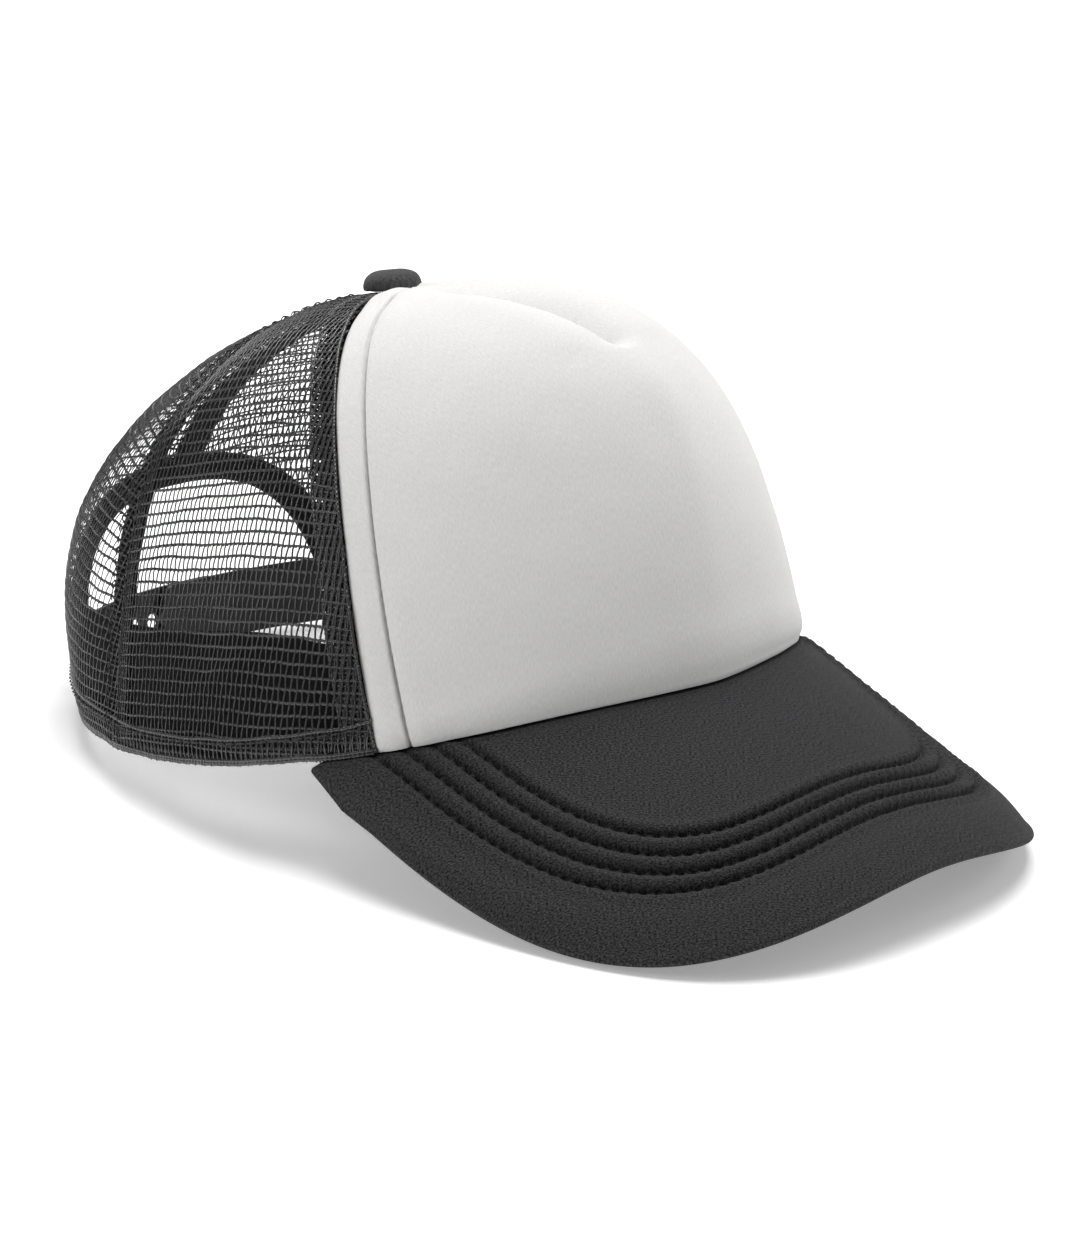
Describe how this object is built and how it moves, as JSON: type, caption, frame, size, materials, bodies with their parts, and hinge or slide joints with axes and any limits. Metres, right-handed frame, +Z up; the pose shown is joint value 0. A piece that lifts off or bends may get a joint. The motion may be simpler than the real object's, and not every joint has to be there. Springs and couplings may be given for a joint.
{
  "type": "trucker mesh cap",
  "caption": "Foam-front trucker cap with mesh back panels, a curved padded brim with stitched rows, a top button and an adjustable snap strap.",
  "frame": {"origin": "on the table, under the centre of the cap's length and width", "axes": "+Z up, the brim points along -Y, the wearer's right is -X"},
  "size_m": [0.1854, 0.2714, 0.125],
  "materials": {
    "panel_knit": "matt fine knit",
    "foam": "open-cell foam",
    "white_thread": "polyester thread",
    "black_thread": "polyester thread",
    "mesh": "knitted nylon mesh",
    "tape": "woven tape",
    "sweatband_twill": "cotton twill",
    "brim_twill": "cotton twill",
    "board": "polyethylene sheet",
    "rivet_metal": "pressed",
    "strap_plastic": "satin moulded"
  },
  "bodies": {
    "cap": {"front_panel_fabric": "panel_knit", "front_panel_foam": "foam", "front_topstitch_right": "white_thread", "front_topstitch_left": "white_thread", "side_mesh_right": "mesh", "side_mesh_left": "mesh", "back_mesh_right": "mesh", "back_mesh_left": "mesh", "front_seam_tape_right": "tape", "front_seam_tape_left": "tape", "side_seam_tape_right": "tape", "side_seam_tape_left": "tape", "back_seam_tape": "tape", "sweatband": "sweatband_twill", "arch_binding": "tape", "brim_top_cover": "brim_twill", "brim_padding": "foam", "brim_board": "board", "brim_under_cover": "brim_twill", "brim_stitch_row_1": "black_thread", "brim_stitch_row_2": "black_thread", "brim_stitch_row_3": "black_thread", "brim_stitch_row_4": "black_thread", "button_cover": "brim_twill", "button_rivet": "rivet_metal", "button_washer": "rivet_metal", "strap_end_right": "strap_plastic", "strap_end_left": "strap_plastic"},
    "strap_with_holes": {"snap_strap_holes": "strap_plastic"},
    "strap_with_pegs": {"snap_strap_pegs": "strap_plastic"}
  },
  "joints": [
    {"name": "strap_holes_swing", "type": "hinge", "parent": "cap", "child": "strap_with_holes", "pos_m": [-0.04, 0.11615, 0.00275], "axis": [0, 0.1977, 0.9803], "range_deg": [0, 60], "stiffness_Nm_per_rad": 0.003},
    {"name": "strap_pegs_swing", "type": "hinge", "parent": "cap", "child": "strap_with_pegs", "pos_m": [0.0392, 0.11479, 0.00302], "axis": [0, 0.1977, 0.9803], "range_deg": [0, 60], "stiffness_Nm_per_rad": 0.003}
  ]
}
